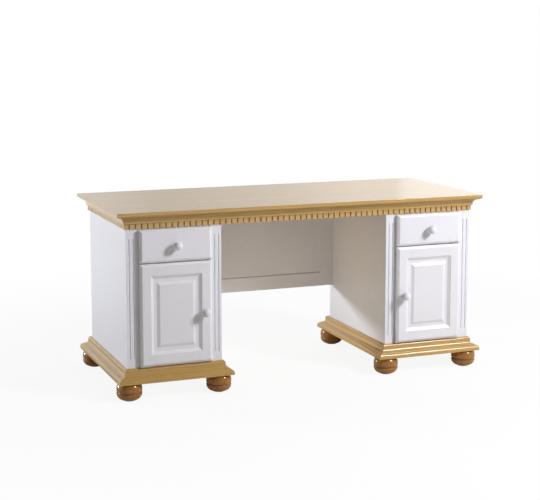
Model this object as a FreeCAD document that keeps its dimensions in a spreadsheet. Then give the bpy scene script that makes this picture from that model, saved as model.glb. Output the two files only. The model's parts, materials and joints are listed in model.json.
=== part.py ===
import FreeCAD, Part
import math
import os
import Sketcher
from FreeCAD import Rotation, Vector

# Pedestal desk of painted and lacquered pine, front towards -Y, origin under the middle of the whole desk.
# Driving sizes in millimetres. Each one becomes a named cell of the sheet called Sizes.
driving_sizes = {
    # Table top
    "desk_width": 1600,
    "desk_depth": 670,
    "desk_height": 750,
    "top_thickness": 18,
    "top_edge_round": 8,
    # Cornice under the top: a quirk, a cove and a plain foot
    "cornice_inset": 9,
    "cornice_quirk": 2,
    "cornice_cove": 22,
    "cornice_foot": 5,
    # Dentil strip under the cornice
    "dentil_inset": 36,
    "dentil_height": 21,
    "dentil_thickness": 10,
    "dentil_pitch": 24.8,
    "dentil_gap": 5.5,
    "dentil_gap_depth": 7,
    # Frame behind the mouldings
    "frame_rail_thickness": 25,
    # Pedestal carcase
    "pedestal_width": 393,
    "side_inset": 42,
    "front_inset": 41,
    "back_inset": 54,
    "side_thickness": 20,
    "face_frame_thickness": 22,
    "stile_width": 60,
    "top_rail_height": 22,
    "middle_rail_height": 44,
    "bottom_rail_rise": 38,
    "back_thickness": 8,
    "top_board_thickness": 18,
    "floor_thickness": 18,
    "base_board_thickness": 22,
    "base_board_ledge": 12,
    # Flutes in the stiles
    "flute_radius": 3.5,
    "flute_edge_distance": 12.5,
    "flute_spacing": 17.5,
    "flute_bottom_margin": 39,
    "flute_top_margin": 41,
    # Plinth moulding, from its top ledge down to its lower edge
    "plinth_ledge": 3,
    "plinth_ovolo": 9,
    "plinth_neck": 7,
    "plinth_cove": 15,
    "plinth_fillet": 1,
    "plinth_fillet_drop": 3,
    "plinth_roll": 13,
    "plinth_edge": 9,
    # Bun feet and their glides
    "foot_height": 72,
    "foot_radius": 51,
    "foot_bottom_radius": 28,
    "foot_top_radius": 39,
    "foot_shoulder_height": 50,
    "foot_inset": 51,
    "foot_groove_height": 34,
    "foot_groove_width": 7,
    "foot_groove_depth": 5,
    "foot_tenon_radius": 7,
    "foot_tenon_length": 18,
    "glide_radius": 24,
    "glide_thickness": 3,
    # Drawer fronts and doors
    "front_width": 298,
    "front_inward_shift": 3,
    "front_thickness": 19,
    "front_bevel_width": 10,
    "front_bevel_depth": 7,
    "front_standoff": 2.4,
    "front_top_gap": 4.6,
    "front_middle_gap": 4.6,
    "front_bottom_gap": 4,
    "drawer_front_height": 131,
    # Door frame and raised panel
    "door_stile_width": 44,
    "door_rail_height": 48,
    "sticking_quirk": 1.5,
    "sticking_width": 12,
    "sticking_depth": 8,
    "panel_setback": 9,
    "panel_tongue": 6,
    "panel_groove": 8,
    "panel_play": 0.5,
    "field_inset": 37,
    "field_bevel": 12,
    "field_setback": 3,
    # Turned knobs
    "knob_radius": 18,
    "knob_projection": 41,
    "knob_collar_radius": 9,
    "knob_collar_length": 3,
    "knob_neck_radius": 6,
    "knob_tenon_radius": 5,
    "knob_tenon_length": 11,
    "door_knob_inset": 32,
    # Drawer box and runners
    "drawer_length": 480,
    "drawer_side_height": 90,
    "drawer_side_thickness": 12,
    "drawer_back_thickness": 12,
    "drawer_bottom_thickness": 6,
    "drawer_bottom_rise": 8,
    "drawer_groove_depth": 5,
    "drawer_side_play": 2,
    "drawer_lift": 2,
    "runner_thickness": 16,
    "runner_guide_height": 30,
    "runner_guide_play": 0.5,
    # Shelf and its pins
    "shelf_rise": 170,
    "shelf_thickness": 18,
    "shelf_depth": 420,
    "shelf_play": 1,
    "shelf_pin_radius": 2.5,
    "shelf_pin_reach": 10,
    "shelf_pin_inset": 60,
    # Pivot hinges of the doors
    "pivot_edge_inset": 6,
    "pivot_back_inset": 8,
    "pivot_radius": 2.5,
    "pivot_length": 14,
    "pivot_play": 0.3,
    "hinge_plate_thickness": 2,
    "hinge_plate_margin": 5,
    "hinge_leg_offset": 8,
    "hinge_leg_width": 30,
    "hinge_leg_height": 20,
    # Magnetic catches
    "catch_width": 12,
    "catch_depth": 26,
    "catch_height": 40,
    "catch_gap": 0.4,
    # Modesty panel between the pedestals
    "modesty_setback": 32,
    "modesty_thickness": 22,
    "modesty_bottom": 283,
    "modesty_stile_width": 64,
    "modesty_rail_height": 62,
    "modesty_panel_thickness": 12,
    "modesty_panel_recess": 2,
    "modesty_line_height": 3.5,
    "modesty_line_depth": 5,
    "modesty_tongue": 8,
    # Fits and cuts
    "fit_play": 0.2,
    "cut_overrun": 5,
}

quarter_turn = 90
full_turn = 360

doc = FreeCAD.newDocument("ComputerDesk")
sheet = doc.addObject("Spreadsheet::Sheet", "Sizes")
nodes = []


class Size:
    # A length that knows its expression for the document and its value for first guesses.
    def __init__(self, text, value):
        self.text = text
        self.value = value

    def join(self, sign, other, value):
        return Size("(%s %s %s)" % (self.text, sign, other.text), value)

    def __add__(self, other):
        other = as_size(other)
        return self.join("+", other, self.value + other.value)

    def __radd__(self, other):
        return as_size(other) + self

    def __sub__(self, other):
        other = as_size(other)
        return self.join("-", other, self.value - other.value)

    def __mul__(self, other):
        other = as_size(other)
        return self.join("*", other, self.value * other.value)

    def __rmul__(self, other):
        return as_size(other) * self

    def __truediv__(self, other):
        other = as_size(other)
        return self.join("/", other, self.value / other.value)

    def __neg__(self):
        return Size("(0 - %s)" % self.text, -self.value)


def as_size(number):
    return number if isinstance(number, Size) else Size(repr(number), number)


def larger(first, second):
    first = as_size(first)
    second = as_size(second)
    return Size("max(%s; %s)" % (first.text, second.text), max(first.value, second.value))


def whole(number):
    return Size("floor(%s)" % number.text, math.floor(number.value))


class Sizes:
    # The sheet's cells as attributes: the cell "stile_width" is at.stile_width.
    def __init__(self, table):
        for row, (name, value) in enumerate(table.items(), start=1):
            sheet.set("A%d" % row, name)
            sheet.set("B%d" % row, str(value))
            sheet.setAlias("B%d" % row, name)
            setattr(self, name, Size("Sizes." + name, value))


at = Sizes(driving_sizes)
doc.recompute()

# Heights worked out from the driving sizes
plinth_height = (at.plinth_ovolo + at.plinth_neck + at.plinth_cove + at.plinth_fillet_drop
                 + at.plinth_roll + at.plinth_edge)
plinth_projection = (at.plinth_ledge + at.plinth_ovolo + at.plinth_cove + at.plinth_fillet
                     + at.plinth_roll)
cornice_height = at.cornice_quirk + at.cornice_cove + at.cornice_foot
top_underside = at.desk_height - at.top_thickness
dentil_top = top_underside - cornice_height
carcase_top = dentil_top - at.dentil_height
base_top = at.foot_height + at.base_board_thickness
plinth_top = at.foot_height + plinth_height
floor_top = plinth_top + at.bottom_rail_rise
drawer_front_top = carcase_top - at.front_top_gap
drawer_front_bottom = drawer_front_top - at.drawer_front_height
door_top = drawer_front_bottom - at.front_middle_gap
door_bottom = plinth_top + at.front_bottom_gap
door_middle = (door_top + door_bottom) / 2
front_gap_middle = door_top + at.front_middle_gap / 2
middle_rail_bottom = front_gap_middle - at.middle_rail_height / 2
middle_rail_top = front_gap_middle + at.middle_rail_height / 2
drawer_bottom = middle_rail_top + at.drawer_lift
drawer_top = drawer_bottom + at.drawer_side_height
shelf_bottom = floor_top + at.shelf_rise

# Places along Y, from the knobs in front to the top's back edge
front_reach = larger(0, at.front_standoff + at.front_thickness + at.knob_projection - at.front_inset)
top_front = front_reach / 2 - at.desk_depth / 2
top_back = front_reach / 2 + at.desk_depth / 2
carcase_front = top_front + at.front_inset
carcase_back = top_back - at.back_inset
face_frame_back = carcase_front + at.face_frame_thickness
back_panel_front = carcase_back - at.back_thickness
base_back = carcase_back + at.base_board_ledge
front_rear = carcase_front - at.front_standoff
front_face = front_rear - at.front_thickness
pivot_front = front_rear - at.pivot_back_inset

# Distances from the desk's middle plane
pedestal_outer = at.desk_width / 2 - at.side_inset
pedestal_inner = pedestal_outer - at.pedestal_width
pedestal_middle = (pedestal_outer + pedestal_inner) / 2
inside_outer = pedestal_outer - at.side_thickness
inside_inner = pedestal_inner + at.side_thickness
opening_outer = pedestal_outer - at.stile_width
opening_inner = pedestal_inner + at.stile_width
front_centre = pedestal_middle - at.front_inward_shift
front_outer = front_centre + at.front_width / 2
front_inner = front_centre - at.front_width / 2
pivot_out = front_outer - at.pivot_edge_inset
frame_inset = at.dentil_inset + at.dentil_thickness


def bind(item, **values):
    for name, size in values.items():
        item.setExpression(name.replace("_", "."), as_size(size).text)
    return item


def place(item, x, y, z, turn=None):
    if turn is not None:
        item.Placement = FreeCAD.Placement(Vector(), turn)
    return bind(item, Placement_Base_x=x, Placement_Base_y=y, Placement_Base_z=z)


def keep(label, item):
    item.Label = label
    nodes.append(item)
    return item


def block(name, across, along, upward):
    # A plain board between two places on each axis.
    box = doc.addObject("Part::Box", name)
    starts = [as_size(pair[0]) for pair in (across, along, upward)]
    length, width, height = [as_size(pair[1]) - start
                             for pair, start in zip((across, along, upward), starts)]
    bind(box, Length=length, Width=width, Height=height)
    return place(box, *starts)


def rod(name, radius, length, x, y, z, turn=None):
    cylinder = doc.addObject("Part::Cylinder", name)
    bind(cylinder, Radius=radius, Height=length)
    return place(cylinder, x, y, z, turn)


def frustum(name, near, far, along):
    # A bevelled block along Y: near and far give the X and Z spans at its two ends.
    wedge = doc.addObject("Part::Wedge", name)
    (near_x, near_z), (far_x, far_z) = near, far
    bind(wedge, Xmin=near_x[0], Xmax=near_x[1], Zmin=near_z[0], Zmax=near_z[1])
    bind(wedge, X2min=far_x[0], X2max=far_x[1], Z2min=far_z[0], Z2max=far_z[1])
    return bind(wedge, Ymin=along[0], Ymax=along[1])


def cut(name, base, tools):
    tool = tools[0]
    if len(tools) > 1:
        tool = group(name + "_cutters", tools)
    result = doc.addObject("Part::Cut", name)
    result.Base = base
    result.Tool = tool
    return result


def fuse(name, items):
    result = doc.addObject("Part::MultiFuse", name)
    result.Shapes = items
    return result


def overlap(name, first, second):
    result = doc.addObject("Part::Common", name)
    result.Base = first
    result.Tool = second
    return result


def group(name, items):
    result = doc.addObject("Part::Compound", name)
    result.Links = items
    return result


def span(side, near, far):
    # The X span of a piece that lies between two distances from the middle plane.
    return (-far, -near) if side == "left" else (near, far)


def inset_span(pair, amount):
    return pair[0] + amount, pair[1] - amount


def toward(side, distance):
    return -distance if side == "left" else distance


# Outlines: a start point, then steps ("line", u, v) or ("arc", u, v, centre u, centre v, turn)
def outline(body, role, name, start, steps):
    plane = [item for item in body.Origin.OriginFeatures if item.Role == role][0]
    sketch = body.newObject("Sketcher::SketchObject", name)
    sketch.AttachmentSupport = [(plane, "")]
    sketch.MapMode = "FlatFace"
    before = start
    ends = []
    for step in steps:
        after = step[1:3]
        if step[0] == "line":
            index = sketch.addGeometry(Part.LineSegment(spot(before), spot(after)), False)
            ends.append((index, 1, 2))
        else:
            index, first, last = add_arc(sketch, before, after, step[3:5], step[5])
            ends.append((index, first, last))
            pin_radius(sketch, index, before, step[3:5])
        pin_point(sketch, index, ends[-1][2], after)
        before = after
    for (index, first, _), (earlier, _, last) in zip(ends, ends[-1:] + ends[:-1]):
        sketch.addConstraint(Sketcher.Constraint("Coincident", index, first, earlier, last))
    return sketch


def spot(point):
    return Vector(as_size(point[0]).value, as_size(point[1]).value, 0)


def add_arc(sketch, before, after, centre, turn):
    middle = spot(centre)
    if turn == "clockwise":
        before, after = after, before
    start = spot(before) - middle
    end = spot(after) - middle
    circle = Part.Circle(middle, Vector(0, 0, 1), start.Length)
    arc = Part.ArcOfCircle(circle, math.atan2(start.y, start.x), math.atan2(end.y, end.x))
    index = sketch.addGeometry(arc, False)
    return (index, 2, 1) if turn == "clockwise" else (index, 1, 2)


def pin_radius(sketch, index, before, centre):
    radius = (spot(before) - spot(centre)).Length
    number = sketch.addConstraint(Sketcher.Constraint("Radius", index, radius))
    across = as_size(before[0]) - as_size(centre[0])
    upward = as_size(before[1]) - as_size(centre[1])
    text = "sqrt(%s * %s + %s * %s)" % (across.text, across.text, upward.text, upward.text)
    sketch.setExpression("Constraints[%d]" % number, text)


def pin_point(sketch, index, end, point):
    for kind, axis, size in (("DistanceX", -2, as_size(point[0])), ("DistanceY", -1, as_size(point[1]))):
        if size.value == 0:
            sketch.addConstraint(Sketcher.Constraint("PointOnObject", index, end, axis))
            continue
        number = sketch.addConstraint(Sketcher.Constraint(kind, -1, 1, index, end, size.value))
        sketch.setExpression("Constraints[%d]" % number, size.text)


def new_body(name):
    return doc.addObject("PartDesign::Body", name)


def pad(body, sketch, length):
    feature = body.newObject("PartDesign::Pad", body.Name + "_pad")
    feature.Profile = sketch
    feature.SideType = "Symmetric"
    return bind(feature, Length=length)


def pocket_down(body, sketch):
    feature = body.newObject("PartDesign::Pocket", sketch.Name + "_pocket")
    feature.Profile = sketch
    feature.Type = "ThroughAll"
    return feature


def turned(name, start, steps):
    # A solid turned about its own Z axis.
    body = new_body(name)
    sketch = outline(body, "XZ_Plane", name + "_outline", start, steps)
    feature = body.newObject("PartDesign::Revolution", name + "_turning")
    feature.Profile = sketch
    feature.ReferenceAxis = (sketch, ["V_Axis"])
    feature.Angle = full_turn
    return body


# Mouldings run along their own X axis, face -Y, hang below Z zero and are mitred at both ends
def moulding(name, start, steps, outer_length, projection, stock=0):
    body = new_body(name)
    profile = outline(body, "YZ_Plane", name + "_profile", start, steps)
    pad(body, profile, outer_length)
    for side in ("left", "right"):
        mitre(body, name + "_mitre_" + side, side, outer_length / 2, projection, stock)
    return body


def mitre(body, name, side, half_length, projection, stock):
    end = toward(side, half_length)
    beyond = toward(side, half_length + at.cut_overrun)
    inner_end = toward(side, half_length - projection)
    clear = at.cut_overrun + stock
    corners = [(inner_end, as_size(0)), (inner_end, clear), (beyond, clear), (beyond, -projection)]
    steps = [("line", u, v) for u, v in corners]
    sketch = outline(body, "XY_Plane", name, (end, -projection), steps + [("line", end, -projection)])
    pocket_down(body, sketch)


def place_moulding(body, turns, x, y, z):
    return place(body, x, y, z, Rotation(Vector(0, 0, 1), quarter_turn * turns))


def cornice(name, outer_length):
    # Outer length is that of the table top; the moulding starts a little inside it.
    reach = frame_inset - at.cornice_inset
    cove_end = reach - at.cornice_cove
    steps = [("line", -reach, -at.cornice_quirk),
             ("arc", -cove_end, -at.cornice_quirk - at.cornice_cove,
              -reach, -at.cornice_quirk - at.cornice_cove, "clockwise"),
             ("line", -cove_end, -cornice_height),
             ("line", 0, -cornice_height),
             ("line", 0, 0),
             ("line", -reach, 0)]
    return moulding(name, (-reach, 0), steps, outer_length - 2 * at.cornice_inset, reach)


def dentil(name, outer_length):
    face_length = outer_length - 2 * at.dentil_inset
    depth = at.dentil_thickness
    steps = [("line", -depth, -at.dentil_height), ("line", 0, -at.dentil_height),
             ("line", 0, 0), ("line", -depth, 0)]
    body = moulding(name, (-depth, 0), steps, face_length, depth)
    # Both corner teeth are alike, and at least as long as the mitre.
    tooth = at.dentil_pitch - at.dentil_gap
    count = whole((face_length + tooth - 2 * depth) / at.dentil_pitch)
    gap_start = (tooth - count * at.dentil_pitch) / 2
    gap_end = gap_start + at.dentil_gap
    gap_back = at.dentil_gap_depth - depth
    gap_front = -depth - at.cut_overrun
    corners = [(gap_end, gap_front), (gap_end, gap_back), (gap_start, gap_back), (gap_start, gap_front)]
    sketch = outline(body, "XY_Plane", name + "_gap", (gap_start, gap_front),
                     [("line", u, v) for u, v in corners])
    gap = pocket_down(body, sketch)
    doc.recompute()
    pattern = body.newObject("PartDesign::LinearPattern", name + "_gaps")
    pattern.Originals = [gap]
    pattern.Direction = (sketch, ["H_Axis"])
    pattern.Mode = "Spacing"
    bind(pattern, Offset=at.dentil_pitch, Occurrences=count)
    body.Tip = pattern
    return body


def plinth(name, outer_length, stock=0):
    # Top ledge, ovolo, neck, cove, fillet, roll and lower edge, all measured outwards and down.
    ovolo_out = at.plinth_ledge + at.plinth_ovolo
    cove_out = ovolo_out + at.plinth_cove
    roll_start = cove_out + at.plinth_fillet
    neck_drop = at.plinth_ovolo + at.plinth_neck
    cove_drop = neck_drop + at.plinth_cove
    fillet_drop = cove_drop + at.plinth_fillet_drop
    roll_drop = fillet_drop + at.plinth_roll
    steps = [("line", -at.plinth_ledge, 0),
             ("arc", -ovolo_out, -at.plinth_ovolo, -at.plinth_ledge, -at.plinth_ovolo, "anticlockwise"),
             ("line", -ovolo_out, -neck_drop),
             ("arc", -cove_out, -cove_drop, -cove_out, -neck_drop, "clockwise"),
             ("line", -roll_start, -cove_drop),
             ("line", -roll_start, -fillet_drop),
             ("arc", -plinth_projection, -roll_drop, -roll_start, -roll_drop, "anticlockwise"),
             ("line", -plinth_projection, -plinth_height),
             ("line", 0, -plinth_height)]
    start = (as_size(stock), 0)
    if stock:
        lip = plinth_height - at.base_board_thickness
        steps += [("line", 0, -lip), ("line", stock, -lip)]
    steps.append(("line", stock, 0))
    return moulding(name, start, steps, outer_length, plinth_projection, stock)


def make_top():
    body = new_body("desk_top_body")
    half_width = at.desk_width / 2
    corners = [(half_width, top_front), (half_width, top_back), (-half_width, top_back),
               (-half_width, top_front)]
    sketch = outline(body, "XY_Plane", "top_outline", (-half_width, top_front),
                     [("line", u, v) for u, v in corners])
    board = body.newObject("PartDesign::Pad", "top_board")
    board.Profile = sketch
    bind(board, Length=at.top_thickness)
    doc.recompute()
    lower_edges = ["Edge%d" % number for number, edge in enumerate(board.Shape.Edges, start=1)
                   if edge.BoundBox.ZMax < at.top_thickness.value / 2]
    rounding = body.newObject("PartDesign::Fillet", "top_edge")
    rounding.Base = (board, lower_edges)
    bind(rounding, Radius=at.top_edge_round)
    place(body, 0, 0, top_underside)
    keep("desk_top", body)


def make_top_mouldings():
    centre_y = (top_front + top_back) / 2
    for kind, build, height in (("cornice", cornice, top_underside), ("dentil", dentil, dentil_top)):
        front = build(kind + "_front_body", at.desk_width)
        place_moulding(front, 0, 0, top_front + frame_inset, height)
        keep(kind + "_front", front)
        back = build(kind + "_back_body", at.desk_width)
        place_moulding(back, 2, 0, top_back - frame_inset, height)
        keep(kind + "_back", back)
        ends = []
        for side, turns in (("left", 3), ("right", 1)):
            end = build("%s_%s_body" % (kind, side), at.desk_depth)
            ends.append(place_moulding(end, turns, toward(side, at.desk_width / 2 - frame_inset),
                                       centre_y, height))
        keep(kind + "_sides", group(kind + "_ends", ends))


def make_top_frame():
    half_width = at.desk_width / 2 - frame_inset
    upward = (carcase_top, top_underside)
    front = (top_front + frame_inset, top_front + frame_inset + at.frame_rail_thickness)
    back = (top_back - frame_inset - at.frame_rail_thickness, top_back - frame_inset)
    long_rails = [block("frame_%s" % name, (-half_width, half_width), along, upward)
                  for name, along in (("front", front), ("back", back))]
    keep("frame_long_rails", group("frame_long", long_rails))
    short_rails = [block("frame_%s" % side, span(side, half_width - at.frame_rail_thickness, half_width),
                         (front[1], back[0]), upward) for side in ("left", "right")]
    keep("frame_side_rails", group("frame_short", short_rails))


def make_modesty_panel():
    face = carcase_back - at.modesty_setback
    along = (face, face + at.modesty_thickness)
    panel_face = face + at.modesty_panel_recess
    panel_along = (panel_face, panel_face + at.modesty_panel_thickness)
    tongue_along = (panel_face + at.modesty_line_depth, panel_along[1])
    stile_edge = pedestal_inner - at.modesty_stile_width
    upward = (at.modesty_bottom, carcase_top)
    rail_edges = (at.modesty_bottom + at.modesty_rail_height, carcase_top - at.modesty_rail_height)
    housing_across = (-stile_edge - at.modesty_tongue, stile_edge + at.modesty_tongue)
    housing_upward = (rail_edges[0] - at.modesty_tongue, rail_edges[1] + at.modesty_tongue)

    stiles = []
    for side in ("left", "right"):
        stile = block("modesty_stile_" + side, span(side, stile_edge, pedestal_inner), along, upward)
        housing = block("modesty_stile_housing_" + side, housing_across, panel_along, housing_upward)
        stiles.append(cut("modesty_stile_cut_" + side, stile, [housing]))
    keep("modesty_stiles", group("modesty_stile_pair", stiles))

    rails = []
    rail_spans = (("bottom", (at.modesty_bottom, rail_edges[0]), tongue_along),
                  ("top", (rail_edges[1], carcase_top), panel_along))
    for name, rail_upward, housing_along in rail_spans:
        rail = block("modesty_rail_" + name, (-stile_edge, stile_edge), along, rail_upward)
        housing = block("modesty_rail_housing_" + name, housing_across, housing_along, housing_upward)
        rails.append(cut("modesty_rail_cut_" + name, rail, [housing]))
    keep("modesty_rails", group("modesty_rail_pair", rails))

    play = at.panel_play
    panel_across = inset_span(housing_across, play)
    body_upward = (rail_edges[0] + at.modesty_line_height, housing_upward[1] - play)
    board = block("modesty_board", panel_across, panel_along, body_upward)
    tongue = block("modesty_board_tongue", panel_across, tongue_along,
                   (housing_upward[0] + play, body_upward[0]))
    keep("modesty_panel", fuse("modesty_board_whole", [board, tongue]))


def pin_rod(name, side, wall, y, z, radius):
    # A short rod through an inner wall face, half in the wall and half in the cupboard.
    start = toward(side, wall) - at.shelf_pin_reach
    return rod(name, radius, 2 * at.shelf_pin_reach, start, y, z, Rotation(Vector(0, 1, 0), quarter_turn))


def shelf_pin_places():
    shelf_back = back_panel_front - at.shelf_play
    shelf_front = shelf_back - at.shelf_depth
    return shelf_front + at.shelf_pin_inset, shelf_back - at.shelf_pin_inset


def make_carcase(side):
    inside = span(side, inside_inner, inside_outer)
    behind_frame = (face_frame_back, carcase_back)
    before_back = (face_frame_back, back_panel_front)
    full_height = (base_top, carcase_top)
    pin_height = shelf_bottom - at.fit_play - at.shelf_pin_radius

    walls = (("outer", inside_outer, pedestal_outer, inside_outer),
             ("inner", pedestal_inner, inside_inner, inside_inner))
    for name, near, far, wall in walls:
        board = block("%s_%s_wall" % (side, name), span(side, near, far), behind_frame, full_height)
        holes = [pin_rod("%s_%s_hole_%d" % (side, name, number), side, wall, y, pin_height,
                         at.shelf_pin_radius + at.fit_play)
                 for number, y in enumerate(shelf_pin_places())]
        keep("%s_%s_side" % (side, name), cut("%s_%s_drilled" % (side, name), board, holes))

    keep(side + "_back_panel", block(side + "_back", inside, (back_panel_front, carcase_back), full_height))
    keep(side + "_top_board", block(side + "_lid", inside, before_back,
                                    (carcase_top - at.top_board_thickness, carcase_top)))
    keep(side + "_floor_board", block(side + "_floor", inside, before_back,
                                      (floor_top - at.floor_thickness, floor_top)))
    make_base_board(side)
    shelf_back = back_panel_front - at.shelf_play
    keep(side + "_shelf", block(side + "_shelf_board", inset_span(inside, at.shelf_play),
                                (shelf_back - at.shelf_depth, shelf_back),
                                (shelf_bottom, shelf_bottom + at.shelf_thickness)))


def foot_places(side):
    outer = pedestal_outer + plinth_projection - at.foot_inset
    inner = pedestal_inner - plinth_projection + at.foot_inset
    front = carcase_front - plinth_projection + at.foot_inset
    back = base_back + plinth_projection - at.foot_inset
    return [(toward(side, x), y) for x in (outer, inner) for y in (front, back)]


def make_base_board(side):
    board = block(side + "_base", span(side, pedestal_inner, pedestal_outer), (carcase_front, base_back),
                  (at.foot_height, base_top))
    sockets = [rod("%s_socket_%d" % (side, number), at.foot_tenon_radius + at.fit_play,
                   at.foot_tenon_length + at.fit_play, x, y, at.foot_height)
               for number, (x, y) in enumerate(foot_places(side))]
    keep(side + "_base_board", cut(side + "_base_drilled", board, sockets))


def flute(name, x):
    low = plinth_top + at.flute_bottom_margin
    high = carcase_top - at.flute_top_margin
    groove = [rod(name + "_run", at.flute_radius, high - low, x, carcase_front, low)]
    for end, height in (("low", low), ("high", high)):
        ball = doc.addObject("Part::Sphere", "%s_%s" % (name, end))
        bind(ball, Radius=at.flute_radius)
        groove.append(place(ball, x, carcase_front, height))
    return fuse(name, groove)


def make_face_frame(side):
    along = (carcase_front, face_frame_back)
    distances = (at.flute_edge_distance, at.flute_edge_distance + at.flute_spacing)
    stiles = []
    for name, edge, near, far, inward in (("outer", pedestal_outer, opening_outer, pedestal_outer, -1),
                                          ("inner", pedestal_inner, pedestal_inner, opening_inner, 1)):
        title = "%s_%s_stile" % (side, name)
        stile = block(title + "_bar", span(side, near, far), along, (base_top, carcase_top))
        grooves = [flute("%s_flute_%d" % (title, number), toward(side, edge + inward * distance))
                   for number, distance in enumerate(distances)]
        stiles.append(cut(title, stile, grooves))
    keep(side + "_front_stiles", group(side + "_stile_pair", stiles))

    opening = span(side, opening_inner, opening_outer)
    rails = (("top", carcase_top - at.top_rail_height, carcase_top),
             ("middle", middle_rail_bottom, middle_rail_top),
             ("bottom", base_top, floor_top))
    keep(side + "_front_rails", group(side + "_rails", [
        block("%s_%s_rail" % (side, name), opening, along, (low, high)) for name, low, high in rails]))


def make_plinth(side):
    centre_x = toward(side, pedestal_middle)
    across = at.pedestal_width + 2 * plinth_projection
    deep = base_back - carcase_front + 2 * plinth_projection
    front = plinth(side + "_plinth_front_body", across)
    keep(side + "_plinth_front", place_moulding(front, 0, centre_x, carcase_front, plinth_top))
    back = plinth(side + "_plinth_back_body", across, at.base_board_ledge)
    keep(side + "_plinth_back", place_moulding(back, 2, centre_x, base_back, plinth_top))
    centre_y = (carcase_front + base_back) / 2
    flanks = []
    for name, offset, turns in (("west", -at.pedestal_width / 2, 3), ("east", at.pedestal_width / 2, 1)):
        flank = plinth("%s_plinth_%s_body" % (side, name), deep)
        flanks.append(place_moulding(flank, turns, centre_x + offset, centre_y, plinth_top))
    keep(side + "_plinth_sides", group(side + "_plinth_flanks", flanks))


def bulge(radius, rim, drop):
    # Radius of an arc that leaves the full radius upright and ends at the rim, one drop away.
    narrowing = radius - rim
    return (narrowing * narrowing + drop * drop) / (2 * narrowing)


def bun_foot(name, x, y):
    # Flat heel, swelling belly, a turned groove, a full shoulder and a tenon into the base board.
    low = at.glide_thickness
    groove_low = at.foot_groove_height - at.foot_groove_width / 2
    groove_high = at.foot_groove_height + at.foot_groove_width / 2
    waist = at.foot_radius - at.foot_groove_depth
    belly_centre = at.foot_radius - bulge(at.foot_radius, at.foot_bottom_radius, groove_low - low)
    shoulder = at.foot_shoulder_height
    shoulder_centre = at.foot_radius - bulge(at.foot_radius, at.foot_top_radius, at.foot_height - shoulder)
    tip = at.foot_height + at.foot_tenon_length
    steps = [("line", at.foot_bottom_radius, low),
             ("arc", at.foot_radius, groove_low, belly_centre, groove_low, "anticlockwise"),
             ("line", waist, groove_low),
             ("line", waist, groove_high),
             ("line", at.foot_radius, groove_high),
             ("line", at.foot_radius, shoulder),
             ("arc", at.foot_top_radius, at.foot_height, shoulder_centre, shoulder, "anticlockwise"),
             ("line", at.foot_tenon_radius, at.foot_height),
             ("line", at.foot_tenon_radius, tip),
             ("line", 0, tip),
             ("line", 0, low)]
    return place(turned(name, (as_size(0), low), steps), x, y, 0)


def make_feet():
    places = foot_places("left") + foot_places("right")
    feet = [bun_foot("foot_%d" % number, x, y) for number, (x, y) in enumerate(places)]
    keep("bun_feet", group("feet", feet))
    glides = [rod("glide_%d" % number, at.glide_radius, at.glide_thickness, x, y, 0)
              for number, (x, y) in enumerate(places)]
    keep("foot_glides", group("glides", glides))


def front_blank(name, across, upward):
    # Square edges at the back, a bevel all round the front.
    bevel_back = front_face + at.front_bevel_depth
    slab = block(name + "_slab", across, (bevel_back, front_rear), upward)
    face = (inset_span(across, at.front_bevel_width), inset_span(upward, at.front_bevel_width))
    bevel = frustum(name + "_bevel", face, (across, upward), (front_face, bevel_back))
    return fuse(name, [slab, bevel])


def knob(name, x, z):
    # Collar, neck and ball on a tenon, turned about an axis that points to the front.
    ball_centre = at.knob_projection - at.knob_radius
    rise = at.knob_radius * at.knob_radius - at.knob_neck_radius * at.knob_neck_radius
    neck_top = ball_centre - Size("sqrt(%s)" % rise.text, math.sqrt(rise.value))
    steps = [("line", at.knob_tenon_radius, -at.knob_tenon_length),
             ("line", at.knob_tenon_radius, 0),
             ("line", at.knob_collar_radius, 0),
             ("line", at.knob_neck_radius, at.knob_collar_length),
             ("line", at.knob_neck_radius, neck_top),
             ("arc", 0, at.knob_projection, 0, ball_centre, "anticlockwise"),
             ("line", 0, -at.knob_tenon_length)]
    body = turned(name, (as_size(0), -at.knob_tenon_length), steps)
    return place(body, x, front_face, z, Rotation(Vector(1, 0, 0), quarter_turn))


def knob_socket(name, x, z):
    length = at.knob_tenon_length + at.fit_play
    return rod(name, at.knob_tenon_radius + at.fit_play, length, x, front_face, z,
               Rotation(Vector(1, 0, 0), -quarter_turn))


def make_drawer(side):
    across = span(side, front_inner, front_outer)
    upward = (drawer_front_bottom, drawer_front_top)
    centre_x = toward(side, front_centre)
    centre_z = (drawer_front_bottom + drawer_front_top) / 2
    box = span(side, opening_inner + at.drawer_side_play, opening_outer - at.drawer_side_play)
    between = inset_span(box, at.drawer_side_thickness)
    bottom_across = inset_span(between, -at.drawer_groove_depth)
    box_back = front_rear + at.drawer_length
    bottom_low = drawer_bottom + at.drawer_bottom_rise
    bottom_high = bottom_low + at.drawer_bottom_thickness

    blank = front_blank(side + "_drawer_blank", across, upward)
    socket = knob_socket(side + "_drawer_socket", centre_x, centre_z)
    keep(side + "_drawer_front", cut(side + "_drawer_face", blank, [socket]))
    keep(side + "_drawer_knob", knob(side + "_drawer_knob_body", centre_x, centre_z))

    sides = []
    for name, cheek in (("west", (box[0], between[0])), ("east", (between[1], box[1]))):
        board = block("%s_drawer_%s" % (side, name), cheek, (front_rear, box_back),
                      (drawer_bottom, drawer_top))
        groove = block("%s_drawer_%s_groove" % (side, name), bottom_across,
                       (front_rear - at.cut_overrun, box_back + at.cut_overrun), (bottom_low, bottom_high))
        sides.append(cut("%s_drawer_%s_grooved" % (side, name), board, [groove]))
    keep(side + "_drawer_sides", group(side + "_drawer_pair", sides))
    keep(side + "_drawer_back", block(side + "_drawer_rear", between,
                                      (box_back - at.drawer_back_thickness, box_back),
                                      (bottom_high, drawer_top)))
    keep(side + "_drawer_bottom", block(side + "_drawer_base", bottom_across, (front_rear, box_back),
                                        (bottom_low, bottom_high)))


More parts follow.
